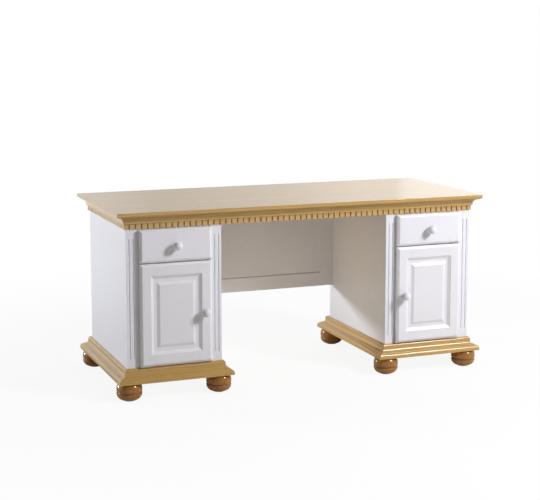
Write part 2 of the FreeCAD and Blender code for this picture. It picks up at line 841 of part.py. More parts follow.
def drawer_runners(side):
    # A bearer under each drawer side with a guide beside it, both fixed to the pedestal wall.
    along = (face_frame_back, back_panel_front)
    play = at.runner_guide_play
    bearer_upward = (drawer_bottom - at.runner_thickness, drawer_bottom)
    guide_upward = (drawer_bottom, drawer_bottom + at.runner_guide_height)
    inner_edge = opening_inner + at.drawer_side_play
    outer_edge = opening_outer - at.drawer_side_play
    rows = (("inner", inside_inner, inner_edge + at.drawer_side_thickness, inside_inner, inner_edge - play),
            ("outer", outer_edge - at.drawer_side_thickness, inside_outer, outer_edge + play, inside_outer))
    runners = []
    for name, near, far, guide_near, guide_far in rows:
        title = "%s_%s_runner" % (side, name)
        bearer = block(title + "_bearer", span(side, near, far), along, bearer_upward)
        guide = block(title + "_guide", span(side, guide_near, guide_far), along, guide_upward)
        runners.append(fuse(title, [bearer, guide]))
    return runners


def make_door(side):
    across = span(side, front_inner, front_outer)
    upward = (door_bottom, door_top)
    opening = inset_span(across, at.door_stile_width), inset_span(upward, at.door_rail_height)
    sight = [inset_span(pair, at.sticking_width) for pair in opening]
    groove = [inset_span(pair, -at.panel_groove) for pair in sight]
    quirk_back = front_face + at.sticking_quirk
    sticking_back = front_face + at.sticking_depth
    tongue = (front_face + at.panel_setback, front_face + at.panel_setback + at.panel_tongue)

    blank = front_blank(side + "_door_blank", across, upward)
    window = block(side + "_door_window", sight[0], (sticking_back, front_rear + at.cut_overrun), sight[1])
    sticking = frustum(side + "_door_sticking", opening, sight, (quirk_back, sticking_back))
    quirk = block(side + "_door_quirk", opening[0], (front_face - at.cut_overrun, quirk_back), opening[1])
    slot = block(side + "_door_slot", groove[0], tongue, groove[1])
    knob_x = toward(side, front_inner + at.door_knob_inset)
    socket = knob_socket(side + "_door_socket", knob_x, door_middle)
    hole_radius = at.pivot_radius + at.pivot_play
    hole_length = at.pivot_length + at.pivot_play
    holes = [rod("%s_door_hole_%s" % (side, end), hole_radius, hole_length,
                 toward(side, pivot_out), pivot_front, low)
             for end, low in (("low", door_bottom), ("high", door_top - hole_length))]
    frame = cut(side + "_door_frame", blank, [window, sticking, quirk, slot, socket] + holes)

    along = (front_face, front_rear)
    stiles = [overlap("%s_door_stile_%s" % (side, name), frame,
                      block("%s_door_stile_box_%s" % (side, name), edges, along, upward))
              for name, edges in (("west", (across[0], sight[0][0])), ("east", (sight[0][1], across[1])))]
    keep(side + "_door_stiles", group(side + "_door_stile_pair", stiles))
    rails = [overlap("%s_door_rail_%s" % (side, name), frame,
                     block("%s_door_rail_box_%s" % (side, name), sight[0], along, edges))
             for name, edges in (("low", (upward[0], sight[1][0])), ("high", (sight[1][1], upward[1])))]
    keep(side + "_door_rails", group(side + "_door_rail_pair", rails))

    field = [inset_span(pair, at.field_inset) for pair in opening]
    foot = [inset_span(pair, -at.field_bevel) for pair in field]
    board = [inset_span(pair, at.panel_play) for pair in groove]
    raised = frustum(side + "_door_field", field, foot, (front_face + at.field_setback, tongue[0]))
    flat = block(side + "_door_flat", board[0], tongue, board[1])
    keep(side + "_door_panel", fuse(side + "_door_raised", [flat, raised]))
    keep(side + "_door_knob", knob(side + "_door_knob_body", knob_x, door_middle))


def pivot_hinges(side):
    # An angle plate above and below the door, each with a pin that stands in the door's stile.
    thickness = at.hinge_plate_thickness
    leg_far = pivot_out - at.hinge_leg_offset
    leg_near = leg_far - at.hinge_leg_width
    leg_across = span(side, leg_near, leg_far)
    plate_across = span(side, leg_near, pivot_out + at.hinge_plate_margin)
    plate_along = (pivot_front - at.hinge_plate_margin, carcase_front)
    leg_along = (carcase_front - thickness, carcase_front)
    low_top = door_bottom - at.pivot_play
    high_bottom = door_top + at.pivot_play
    rows = (("low", low_top - thickness, low_top, low_top - thickness),
            ("high", high_bottom, high_bottom - at.hinge_leg_height, high_bottom - at.pivot_length))
    hinges = []
    for end, plate_low, leg_low, pin_low in rows:
        title = "%s_hinge_%s" % (side, end)
        plate = block(title + "_plate", plate_across, plate_along, (plate_low, plate_low + thickness))
        leg = block(title + "_leg", leg_across, leg_along, (leg_low, leg_low + at.hinge_leg_height))
        pin = rod(title + "_pin", at.pivot_radius, at.pivot_length + thickness,
                  toward(side, pivot_out), pivot_front, pin_low)
        hinges.append(fuse(title, [plate, leg, pin]))
    return hinges


def door_catch(side):
    along = (front_rear + at.catch_gap, front_rear + at.catch_gap + at.catch_depth)
    return block(side + "_catch", span(side, opening_inner, opening_inner + at.catch_width), along,
                 (middle_rail_bottom - at.catch_height, middle_rail_bottom))


def shelf_pins(side):
    height = shelf_bottom - at.fit_play - at.shelf_pin_radius
    return [pin_rod("%s_%s_pin_%d" % (side, name, number), side, wall, y, height, at.shelf_pin_radius)
            for name, wall in (("outer", inside_outer), ("inner", inside_inner))
            for number, y in enumerate(shelf_pin_places())]


def make_hardware():
    for label, build in (("drawer_runners", drawer_runners), ("pivot_hinges", pivot_hinges),
                         ("shelf_pins", shelf_pins)):
        keep(label, group(label + "_set", build("left") + build("right")))
    keep("door_catches", group("catch_pair", [door_catch("left"), door_catch("right")]))


def check_model():
    for item in doc.Objects:
        if "Invalid" in item.State or "Error" in item.State:
            raise RuntimeError("%s did not build: %s" % (item.Label, item.State))
    for node in nodes:
        if node.Shape.isNull() or not node.Shape.isValid() or not node.Shape.Solids:
            raise RuntimeError("%s has no valid solid" % node.Label)


make_top()
make_top_mouldings()
make_top_frame()
make_modesty_panel()
for pedestal in ("left", "right"):
    make_carcase(pedestal)
    make_face_frame(pedestal)
    make_plinth(pedestal)
    make_door(pedestal)
    make_drawer(pedestal)
make_feet()
make_hardware()
doc.recompute()
check_model()

os.makedirs("parts", exist_ok=True)
for node in nodes:
    node.Shape.exportStep("parts/%s.step" % node.Label)
print("%d sub-parts written" % len(nodes))
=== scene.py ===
import json
import math

import bpy
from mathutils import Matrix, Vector


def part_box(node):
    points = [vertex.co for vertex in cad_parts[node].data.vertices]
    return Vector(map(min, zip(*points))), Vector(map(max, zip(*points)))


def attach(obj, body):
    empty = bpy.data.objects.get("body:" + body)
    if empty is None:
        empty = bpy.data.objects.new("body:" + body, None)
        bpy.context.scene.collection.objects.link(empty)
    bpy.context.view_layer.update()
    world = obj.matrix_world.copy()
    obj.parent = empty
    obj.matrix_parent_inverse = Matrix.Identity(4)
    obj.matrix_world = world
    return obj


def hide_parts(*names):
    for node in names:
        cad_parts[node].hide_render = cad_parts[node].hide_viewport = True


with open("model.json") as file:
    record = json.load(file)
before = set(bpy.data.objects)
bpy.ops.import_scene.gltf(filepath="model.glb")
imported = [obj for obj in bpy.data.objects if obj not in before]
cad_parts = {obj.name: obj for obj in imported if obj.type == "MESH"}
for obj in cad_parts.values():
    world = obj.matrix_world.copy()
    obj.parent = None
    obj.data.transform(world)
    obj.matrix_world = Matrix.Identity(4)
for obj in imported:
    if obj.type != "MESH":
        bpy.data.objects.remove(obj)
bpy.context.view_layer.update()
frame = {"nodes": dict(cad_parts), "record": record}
slotOf = {entry["node"]: entry["material_slot"] for entry in frame["record"]["subparts"]}
bodyOf = {node: body for body, nodes in frame["record"]["behaviour"]["bodies"].items() for node in nodes}
print("frame loaded:", len(frame["nodes"]), "nodes")


# Node helpers: an input given as a socket is linked, any other value is set
def addNode(tree, kind, inputs=None, **settings):
    node = tree.nodes.new(kind)
    for name, value in settings.items():
        setattr(node, name, value)
    for name, value in (inputs or {}).items():
        if isinstance(value, bpy.types.NodeSocket):
            tree.links.new(value, node.inputs[name])
        else:
            node.inputs[name].default_value = value
    return node


def calc(tree, operation, first, second):
    return addNode(tree, "ShaderNodeMath", {0: first, 1: second}, operation=operation).outputs[0]


def mixColours(tree, factor, first, second, blend="MIX"):
    mix = addNode(tree, "ShaderNodeMix", data_type="RGBA", blend_type=blend)
    for index, value in ((0, factor), (6, first), (7, second)):  # the sockets that a colour mix uses
        if isinstance(value, bpy.types.NodeSocket):
            tree.links.new(value, mix.inputs[index])
        else:
            mix.inputs[index].default_value = value
    return mix.outputs[2]


def remap(tree, value, low, high):
    return addNode(tree, "ShaderNodeMapRange", {"Value": value, "To Min": low, "To Max": high}).outputs[0]


def newMaterial(name):
    material = bpy.data.materials.new(name)
    material.use_nodes = True
    tree = material.node_tree
    return material, tree, tree.nodes["Principled BSDF"]


def setSockets(shader, values):
    for name, value in values.items():
        shader.inputs[name].default_value = value


def objectPlace(tree):
    return addNode(tree, "ShaderNodeTexCoord").outputs["Object"]


def noise(tree, vector, scale, detail):
    return addNode(tree, "ShaderNodeTexNoise", {"Vector": vector, "Scale": scale, "Detail": detail})


def addBump(tree, shader, look, height):
    bump = addNode(tree, "ShaderNodeBump", {"Strength": look["bump"], "Distance": look["bumpDistance"],
                                            "Height": height})
    tree.links.new(bump.outputs[0], shader.inputs["Normal"])


def spreadRoughness(tree, shader, look, pattern):
    # the pattern spreads the roughness evenly about its middle value
    least = look["roughness"] - look["roughSpread"] / 2
    rough = calc(tree, "ADD", least, calc(tree, "MULTIPLY", pattern, look["roughSpread"]))
    tree.links.new(rough, shader.inputs["Roughness"])


# Wood: every look is read along X, and the pattern is turned so that X follows the grain
grain = {
    "turns": {"X": (0, 0, 0), "Y": (0, 0, -math.pi / 2), "Z": (0, math.pi / 2, 0)},
    "upright": ("stiles", "outer_side", "inner_side", "back_panel", "door_panel", "bun_feet"),
    "frontToBack": ("cornice_sides", "dentil_sides", "plinth_sides", "drawer_sides", "frame_side_rails",
                    "drawer_runners", "knob"),
    "gluedBoards": ("desk_top", "base_board", "drawer_bottom"),
    "staveWidth": 0.118, "staveShift": (3.0, 0.16, 0.05), "staveToneShare": 0.2,
    "nodeShift": 0.37,
    "wanderStretch": (0.22, 1, 1), "wanderDetail": 1.5,
    "fibreStretch": (0.018, 1, 1), "fibreDetail": 3.0,
    "toneStretch": (0.08, 1, 1), "toneDetail": 2.0,
    "ringDistortion": 1.2, "ringDetail": 1.0, "ringDetailScale": 0.6,
    "waveRate": 20,  # radians that a wave texture turns in one metre at scale 1
}


def grainAxis(node):
    if node.endswith(grain["upright"]):
        return "Z"
    return "Y" if node.endswith(grain["frontToBack"]) else "X"


def turnedPlace(point, axis):
    x, y, z = point
    return {"X": (x, y, z), "Y": (y, -x, z), "Z": (z, y, -x)}[axis]


def grainCoordinates(tree, node, look):
    axis = grainAxis(node)
    low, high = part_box(node)
    along, across, depth = turnedPlace((low + high) / 2, axis)
    number = sorted(frame["nodes"]).index(node)
    shift = (grain["nodeShift"] * number - along, look["heartAcross"] - across, look["heartDepth"] - depth)
    turned = addNode(tree, "ShaderNodeMapping",
                     {"Vector": objectPlace(tree), "Rotation": grain["turns"][axis],
                      "Location": shift}).outputs[0]
    if not node.endswith(grain["gluedBoards"]):
        return turned, None
    parts = addNode(tree, "ShaderNodeSeparateXYZ", {0: turned})
    stave = calc(tree, "FLOOR", calc(tree, "DIVIDE", parts.outputs["Y"], grain["staveWidth"]), 0)
    chance = addNode(tree, "ShaderNodeTexWhiteNoise", {"W": stave}, noise_dimensions="1D")
    moved = addNode(tree, "ShaderNodeVectorMath", {0: chance.outputs["Color"], 1: grain["staveShift"]},
                    operation="MULTIPLY").outputs[0]
    return addNode(tree, "ShaderNodeVectorMath", {0: turned, 1: moved}).outputs[0], chance.outputs["Value"]


def stretched(tree, vector, scale):
    return addNode(tree, "ShaderNodeMapping", {"Vector": vector, "Scale": scale}).outputs[0]


def woodPattern(tree, node, look):
    # growth rings that wander along the grain, fine fibres and broad tone changes, each from 0 to 1
    vector, stave = grainCoordinates(tree, node, look)
    along = {name: stretched(tree, vector, grain[name + "Stretch"]) for name in ("wander", "fibre", "tone")}
    wander = noise(tree, along["wander"], look["wanderScale"], grain["wanderDetail"])
    offset = addNode(tree, "ShaderNodeVectorMath", {0: wander.outputs["Color"], "Scale": look["wander"]},
                     operation="SCALE").outputs[0]
    bent = addNode(tree, "ShaderNodeVectorMath", {0: vector, 1: offset}).outputs[0]
    rings = addNode(tree, "ShaderNodeTexWave",
                    {"Vector": bent, "Scale": 2 * math.pi / grain["waveRate"] / look["ringSpacing"],
                     "Distortion": grain["ringDistortion"], "Detail": grain["ringDetail"],
                     "Detail Scale": grain["ringDetailScale"]},
                    wave_type="RINGS", rings_direction="X", wave_profile="SAW").outputs["Fac"]
    fibres = noise(tree, along["fibre"], look["fibreScale"], grain["fibreDetail"]).outputs[0]
    tone = noise(tree, along["tone"], look["toneScale"], grain["toneDetail"]).outputs[0]
    if stave is not None:
        staveShare = grain["staveToneShare"]
        ownTone = calc(tree, "MULTIPLY", tone, 1 - staveShare)
        tone = calc(tree, "ADD", ownTone, calc(tree, "MULTIPLY", stave, staveShare))
    return rings, fibres, tone


rubbing = {"patchScale": 38.0, "patchDetail": 3.0}


def arrisMask(tree, amount):
    # rubbed edges, broken up so that they don't run evenly
    edge = addNode(tree, "ShaderNodeAttribute", attribute_name="arris").outputs["Fac"]
    patches = noise(tree, objectPlace(tree), rubbing["patchScale"], rubbing["patchDetail"]).outputs[0]
    return calc(tree, "MULTIPLY", edge, remap(tree, patches, 0.0, amount))


def woodMaterial(name, node, look):
    material, tree, shader = newMaterial(name)
    rings, fibres, tone = woodPattern(tree, node, look)
    ringShare = calc(tree, "MULTIPLY", rings, look["ringStrength"])
    ringed = mixColours(tree, ringShare, look["pale"], look["late"])
    streaked = mixColours(tree, remap(tree, fibres, 0.0, look["fibreStrength"]), ringed, look["fibre"])
    toneShare = remap(tree, tone, 0.0, look["toneStrength"])
    toned = mixColours(tree, toneShare, streaked, look["tone"], "MULTIPLY")
    colour = mixColours(tree, arrisMask(tree, look["wear"]), toned, look["worn"])
    tree.links.new(colour, shader.inputs["Base Color"])
    spreadRoughness(tree, shader, look, fibres)
    relief = calc(tree, "MULTIPLY", rings, look["ringRelief"])
    addBump(tree, shader, look, calc(tree, "ADD", relief, fibres))
    setSockets(shader, look["sockets"])
    return material


honeyPine = {
    "pale": (0.67, 0.447, 0.157, 1), "late": (0.405, 0.23, 0.052, 1), "fibre": (0.485, 0.288, 0.082, 1),
    "tone": (0.76, 0.69, 0.58, 1), "worn": (0.70, 0.52, 0.27, 1),
    "ringSpacing": 0.0085, "ringStrength": 0.62, "wander": 0.022, "wanderScale": 5.0,
    "heartAcross": 0.05, "heartDepth": 0.09,
    "fibreScale": 420.0, "fibreStrength": 0.45, "toneScale": 22.0, "toneStrength": 0.55, "wear": 0.35,
    "roughness": 0.42, "roughSpread": 0.12, "ringRelief": 0.4, "bump": 0.12, "bumpDistance": 0.0004,
    "sockets": {"Specular IOR Level": 0.08, "Coat Weight": 1.0, "Coat Roughness": 0.17, "Coat IOR": 1.5},
}
turnedPine = dict(honeyPine, pale=(0.46, 0.22, 0.045, 1), late=(0.25, 0.095, 0.015, 1),
                  fibre=(0.31, 0.128, 0.022, 1), worn=(0.50, 0.27, 0.08, 1), ringSpacing=0.0055,
                  heartAcross=0.0, heartDepth=0.03,
                  sockets={"Specular IOR Level": 0.08, "Coat Weight": 1.0, "Coat Roughness": 0.05,
                           "Coat IOR": 1.52})
rawPine = dict(honeyPine, pale=(0.72, 0.54, 0.32, 1), late=(0.55, 0.36, 0.17, 1),
               fibre=(0.62, 0.44, 0.24, 1), worn=(0.76, 0.60, 0.40, 1), roughness=0.62, bump=0.3,
               sockets={"Specular IOR Level": 0.3})


whitePaint = {
    "base": (0.82, 0.82, 0.88, 1), "streak": (0.77, 0.77, 0.825, 1), "worn": (0.74, 0.68, 0.58, 1),
    "heartAcross": 0.04, "heartDepth": 0.1, "ringSpacing": 0.008, "wander": 0.02, "wanderScale": 5.0,
    "fibreScale": 300.0, "toneScale": 14.0, "ringTrace": 0.35, "traceStrength": 0.5, "leastTone": 0.2,
    "wear": 0.22, "roughness": 0.36, "roughSpread": 0.16, "bump": 0.12, "bumpDistance": 0.0003,
    "peelScale": 900.0, "peelDetail": 2.0, "peelRelief": 0.5,
}


def paintMaterial(name, node, look):
    # sprayed paint that lets a trace of the grain through
    material, tree, shader = newMaterial(name)
    rings, fibres, tone = woodPattern(tree, node, look)
    lines = calc(tree, "ADD", calc(tree, "MULTIPLY", rings, look["ringTrace"]), fibres)
    trace = calc(tree, "MULTIPLY", lines, look["traceStrength"])
    streaked = mixColours(tree, calc(tree, "MULTIPLY", trace, remap(tree, tone, look["leastTone"], 1.0)),
                          look["base"], look["streak"])
    colour = mixColours(tree, arrisMask(tree, look["wear"]), streaked, look["worn"])
    tree.links.new(colour, shader.inputs["Base Color"])
    spreadRoughness(tree, shader, look, fibres)
    peel = noise(tree, objectPlace(tree), look["peelScale"], look["peelDetail"]).outputs[0]
    relief = calc(tree, "MULTIPLY", peel, look["peelRelief"])
    addBump(tree, shader, look, calc(tree, "ADD", fibres, relief))
    return material


fittingSteel = {
    "dull": (0.42, 0.42, 0.43, 1), "bright": (0.62, 0.62, 0.63, 1), "brushStretch": (0.04, 1, 1),
    "brushScale": 600.0, "brushDetail": 3.0, "smoothest": 0.28, "roughest": 0.46, "bump": 0.1,
    "bumpDistance": 0.0001,
}


def steelMaterial(name, node, look):
    material, tree, shader = newMaterial(name)
    brushed = stretched(tree, objectPlace(tree), look["brushStretch"])
    brush = noise(tree, brushed, look["brushScale"], look["brushDetail"]).outputs[0]
    tree.links.new(mixColours(tree, brush, look["dull"], look["bright"]), shader.inputs["Base Color"])
    tree.links.new(remap(tree, brush, look["smoothest"], look["roughest"]), shader.inputs["Roughness"])
    addBump(tree, shader, look, brush)
    setSockets(shader, {"Metallic": 1.0})
    return material


catchPlastic = {
    "light": (0.70, 0.67, 0.61, 1), "dark": (0.60, 0.57, 0.51, 1), "sparkScale": 1400.0, "sparkDetail": 2.0,
    "roughness": 0.5, "roughSpread": 0.1, "bump": 0.2, "bumpDistance": 0.0001,
}
glidePlastic = dict(catchPlastic, light=(0.035, 0.034, 0.033, 1), dark=(0.015, 0.015, 0.015, 1),
                    roughness=0.55)


def plasticMaterial(name, node, look):
    material, tree, shader = newMaterial(name)
    spark = noise(tree, objectPlace(tree), look["sparkScale"], look["sparkDetail"]).outputs[0]
    tree.links.new(mixColours(tree, spark, look["light"], look["dark"]), shader.inputs["Base Color"])
    spreadRoughness(tree, shader, look, spark)
    addBump(tree, shader, look, spark)
    return material


finishes = {
    "honey_pine": ("honeyPine", woodMaterial, honeyPine),
    "turned_pine": ("turnedPine", woodMaterial, turnedPine),
    "raw_pine": ("rawPine", woodMaterial, rawPine),
    "white_paint": ("whitePaint", paintMaterial, whitePaint),
    "fitting_steel": ("fittingSteel", steelMaterial, fittingSteel),
    "catch_plastic": ("catchPlastic", plasticMaterial, catchPlastic),
    "glide_plastic": ("glidePlastic", plasticMaterial, glidePlastic),
}


def finishFor(node):
    title, build, look = finishes[slotOf[node]]
    return build(title + "_" + node, node, look)


# Eased edges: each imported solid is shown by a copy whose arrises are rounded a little
easing = {
    "mergeWithin": 0.00001, "flatWithin": math.radians(0.4), "sharpFrom": math.radians(24),
    "smoothUpTo": math.radians(24), "segments": 2,
    "shortest": 2.5,  # times the radius
    "longOnly": ("front_stiles", "door_stiles", "base_board", "outer_side", "inner_side"), "long": 0.02,
    "radius": 0.0006,
    "radii": {"desk_top": 0.0018, "drawer_front": 0.0011, "door_stiles": 0.00045, "door_rails": 0.00045,
              "door_panel": 0.0008, "front_stiles": 0.0005, "front_rails": 0.0005, "outer_side": 0.0005,
              "inner_side": 0.0005, "plinth_front": 0.0004, "plinth_back": 0.0004, "plinth_sides": 0.0004,
              "knob": 0.0004, "bun_feet": 0.0007, "pivot_hinges": 0.0003, "shelf_pins": 0.0004},
}


def easingRadius(node):
    for ending, radius in easing["radii"].items():
        if node.endswith(ending):
            return radius
    return easing["radius"]


def selectOnly(piece):
    bpy.ops.object.select_all(action="DESELECT")
    piece.select_set(True)
    bpy.context.view_layer.objects.active = piece


def keepLongEdges(piece, shortest):
    # tiny edges, as round a hole, would hold back the easing of the whole piece
    bpy.ops.object.mode_set(mode="OBJECT")
    corners = piece.data.vertices
    for edge in piece.data.edges:
        first, second = [corners[index].co for index in edge.vertices]
        edge.select = edge.select and (first - second).length >= shortest
    bpy.ops.object.mode_set(mode="EDIT")


def markArrises(piece):
    # faces left selected by the bevel are the eased edges
    marks = piece.data.attributes.new("arris", "FLOAT", "FACE")
    for face in piece.data.polygons:
        marks.data[face.index].value = 1.0 if face.select else 0.0


def easedCopy(node):
    piece = bpy.data.objects.new(node + "_eased", frame["nodes"][node].data.copy())
    bpy.context.collection.objects.link(piece)
    selectOnly(piece)
    bpy.ops.mesh.customdata_custom_splitnormals_clear()
    bpy.ops.object.mode_set(mode="EDIT")
    bpy.ops.mesh.select_mode(type="EDGE")
    bpy.ops.mesh.select_all(action="SELECT")
    bpy.ops.mesh.remove_doubles(threshold=easing["mergeWithin"])
    bpy.ops.mesh.dissolve_limited(angle_limit=easing["flatWithin"])
    bpy.ops.mesh.select_all(action="DESELECT")
    bpy.ops.mesh.edges_select_sharp(sharpness=easing["sharpFrom"])
    radius = easingRadius(node)
    onlyLong = node.endswith(easing["longOnly"])
    keepLongEdges(piece, easing["long"] if onlyLong else radius * easing["shortest"])
    bpy.ops.mesh.bevel(offset=radius, segments=easing["segments"], affect="EDGES", clamp_overlap=True,
                       loop_slide=False)
    bpy.ops.object.mode_set(mode="OBJECT")
    markArrises(piece)
    bpy.ops.object.shade_smooth_by_angle(angle=easing["smoothUpTo"])
    bpy.ops.object.modifier_add(type="WEIGHTED_NORMAL")
    piece.modifiers[-1].keep_sharp = True
    bpy.ops.object.modifier_apply(modifier=piece.modifiers[-1].name)
    piece.data.materials.clear()
    piece.data.materials.append(finishFor(node))
    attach(piece, bodyOf[node])
    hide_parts(node)
    return piece


for nodeName in sorted(frame["nodes"]):
    easedCopy(nodeName)
print("edges eased:", len(frame["nodes"]), "pieces")


# Fittings: fasteners too small for the solids, each modelled once at the origin and copied to its places
fitting = {"looksUpFrom": 0.9, "edgeSegments": 2}
eitherSide = (-0.5, 0.5)  # places of a pair, in shares of its spacing


def selectTopFaces(piece):
    bpy.ops.object.mode_set(mode="EDIT")
    bpy.ops.mesh.select_mode(type="FACE")
    bpy.ops.mesh.select_all(action="DESELECT")
    bpy.ops.object.mode_set(mode="OBJECT")
    for face in piece.data.polygons:
        face.select = face.normal.z > fitting["looksUpFrom"]
    bpy.ops.object.mode_set(mode="EDIT")


def finishFitting(piece, material):
    bpy.ops.object.mode_set(mode="OBJECT")
    selectOnly(piece)
    bpy.ops.object.shade_smooth_by_angle(angle=easing["smoothUpTo"])
    piece.data.materials.append(material)
    return piece


def cutAway(piece, cutter):
    selectOnly(piece)
    bpy.ops.object.modifier_add(type="BOOLEAN")
    cutting = piece.modifiers[-1]
    cutting.operation = "DIFFERENCE"
    cutting.object = cutter
    bpy.ops.object.modifier_apply(modifier=cutting.name)


screwShape = {"sides": 32, "shoulder": 0.3, "dome": 0.35, "crossLength": 1.2, "crossWidth": 0.26,
              "crossDepth": 0.55}


def screwHead(radius, height, material):
    # a low dome with a cross recess, looking up
    bpy.ops.object.select_all(action="DESELECT")
    bpy.ops.mesh.primitive_cylinder_add(vertices=screwShape["sides"], radius=radius, depth=height,
                                        location=(0, 0, height / 2))
    head = bpy.context.object
    selectTopFaces(head)
    bpy.ops.mesh.inset(thickness=radius * screwShape["shoulder"])
    bpy.ops.transform.translate(value=(0, 0, height * screwShape["dome"]))
    bpy.ops.object.mode_set(mode="OBJECT")
    top = height * (1 + screwShape["dome"])
    bpy.ops.object.select_all(action="DESELECT")
    barSize = (radius * screwShape["crossLength"], radius * screwShape["crossWidth"],
               2 * top * screwShape["crossDepth"])
    bpy.ops.mesh.primitive_cube_add(size=1, location=(0, 0, top), scale=barSize)
    bar = bpy.context.object
    cutAway(head, bar)
    bar.rotation_euler = (0, 0, math.pi / 2)
    bpy.context.view_layer.update()
    cutAway(head, bar)
    bpy.data.objects.remove(bar)
    return finishFitting(head, material)


plateShape = {"cornerShare": 0.2, "edgeShare": 0.3, "cornerSegments": 4}


def thinPlate(width, height, thickness, material):
    # a plate with rounded corners and a broken edge, looking up
    bpy.ops.object.select_all(action="DESELECT")
    bpy.ops.mesh.primitive_cube_add(size=1, location=(0, 0, thickness / 2),
                                    scale=(width, height, thickness))
    plate = bpy.context.object
    bpy.ops.object.transform_apply(location=True, rotation=True, scale=True)
    bpy.ops.object.mode_set(mode="EDIT")
    bpy.ops.mesh.select_mode(type="EDGE")
    bpy.ops.mesh.select_all(action="DESELECT")
    bpy.ops.object.mode_set(mode="OBJECT")
    corners = plate.data.vertices
    for edge in plate.data.edges:
        first, second = [corners[index].co for index in edge.vertices]
        edge.select = abs(first.z - second.z) > thickness / 2
    bpy.ops.object.mode_set(mode="EDIT")
    bpy.ops.mesh.bevel(offset=width * plateShape["cornerShare"], segments=plateShape["cornerSegments"],
                       affect="EDGES")
    selectTopFaces(plate)
    bpy.ops.mesh.bevel(offset=thickness * plateShape["edgeShare"], segments=fitting["edgeSegments"],
                       affect="EDGES")
    return finishFitting(plate, material)


def placeCopies(model, title, places):
    # each place: body, point, way that the fitting looks along Y, and a spin about its own axis
    for number, (body, point, way, spin) in enumerate(places, 1):
        piece = bpy.data.objects.new("%s_%d" % (title, number), model.data.copy())
        bpy.context.collection.objects.link(piece)
        piece.rotation_mode = "ZYX"
        piece.rotation_euler = (-way * math.pi / 2, 0, spin)
        piece.location = point
        selectOnly(piece)
        bpy.ops.object.transform_apply(location=True, rotation=True, scale=True)
        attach(piece, body)
    bpy.data.objects.remove(model)
    print(title + ":", len(places))


def middle(node):
    low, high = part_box(node)
    return (low + high) / 2


sideSigns = {"left": -1, "right": 1}
fittingMaterial = steelMaterial("fittingSteel_fasteners", None, fittingSteel)

hingeScrews = {"radius": 0.0031, "height": 0.00016, "spacing": 0.015, "pivotToLeg": 0.023,
               "doorEndToLeg": 0.0097, "legThickness": 0.002, "spinStep": 1.3}


def makeHingeScrews():
    places = []
    for joint in frame["record"]["behaviour"]["joints"]:
        if joint["type"] != "hinge":
            continue
        side = joint["child"].split("_")[0]
        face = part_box(side + "_front_rails")[0].y - hingeScrews["legThickness"]
        legMiddle = abs(joint["pos_m"][0]) - hingeScrews["pivotToLeg"]
        low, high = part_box(side + "_door_stiles")
        for height in (low.z + hingeScrews["doorEndToLeg"], high.z - hingeScrews["doorEndToLeg"]):
            for offset in eitherSide:
                across = legMiddle + offset * hingeScrews["spacing"]
                spin = hingeScrews["spinStep"] * len(places)
                places.append(("carcase", (sideSigns[side] * across, face, height), -1, spin))
    head = screwHead(hingeScrews["radius"], hingeScrews["height"], fittingMaterial)
    placeCopies(head, "hinge_screw", places)


strikes = {"width": 0.010, "height": 0.032, "thickness": 0.00012, "catchWidth": 0.012,
           "poleWidth": 0.0022, "poleHeight": 0.030, "poleThickness": 0.0001, "poleSpacing": 0.006}


def makeStrikes():
    catchMiddle = middle("door_catches")
    catchLow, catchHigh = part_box("door_catches")
    across = catchHigh.x - strikes["catchWidth"] / 2
    plates, poles = [], []
    for side, sign in sideSigns.items():
        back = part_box(side + "_door_stiles")[1].y
        plates.append((side + "_door", (sign * across, back, catchMiddle.z), 1, 0))
        for offset in eitherSide:
            place = (sign * across + offset * strikes["poleSpacing"], catchLow.y, catchMiddle.z)
            poles.append(("carcase", place, -1, 0))
    strike = thinPlate(strikes["width"], strikes["height"], strikes["thickness"], fittingMaterial)
    placeCopies(strike, "catch_strike", plates)
    pole = thinPlate(strikes["poleWidth"], strikes["poleHeight"], strikes["poleThickness"], fittingMaterial)
    placeCopies(pole, "catch_pole", poles)


knobScrews = {"radius": 0.0046, "height": 0.0016, "spinStep": 0.6}


def makeKnobScrews():
    places = []
    for side in sideSigns:
        fronts = ((side + "_drawer", side + "_drawer_front"), (side + "_door", side + "_door_stiles"))
        for body, back in fronts:
            knob = middle(body + "_knob")
            spin = knobScrews["spinStep"] * len(places)
            places.append((body, (knob.x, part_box(back)[1].y, knob.z), 1, spin))
    head = screwHead(knobScrews["radius"], knobScrews["height"], fittingMaterial)
    placeCopies(head, "knob_screw", places)


panelPins = {"radius": 0.0016, "height": 0.0003, "inset": 0.010, "spacing": 0.085, "sides": 20,
             "edgeShare": 0.6}


def pinHead():
    bpy.ops.object.select_all(action="DESELECT")
    bpy.ops.mesh.primitive_cylinder_add(vertices=panelPins["sides"], radius=panelPins["radius"],
                                        depth=panelPins["height"], location=(0, 0, panelPins["height"] / 2))
    pin = bpy.context.object
    selectTopFaces(pin)
    bpy.ops.mesh.bevel(offset=panelPins["height"] * panelPins["edgeShare"],
                       segments=fitting["edgeSegments"], affect="EDGES")
    return finishFitting(pin, fittingMaterial)


def makePanelPins():
    # pins all round the edge of each back panel
    places = []
    for side in sideSigns:
        low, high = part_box(side + "_back_panel")
        left, right = low.x + panelPins["inset"], high.x - panelPins["inset"]
        bottom, top = low.z + panelPins["inset"], high.z - panelPins["inset"]
        columns = round((right - left) / panelPins["spacing"])
        rows = round((top - bottom) / panelPins["spacing"])
        for column in range(columns + 1):
            for row in range(rows + 1):
                if column in (0, columns) or row in (0, rows):
                    point = (left + (right - left) * column / columns, high.y,
                             bottom + (top - bottom) * row / rows)
                    places.append(("carcase", point, 1, 0))
    placeCopies(pinHead(), "panel_pin", places)


makeHingeScrews()
makeStrikes()
makeKnobScrews()
makePanelPins()


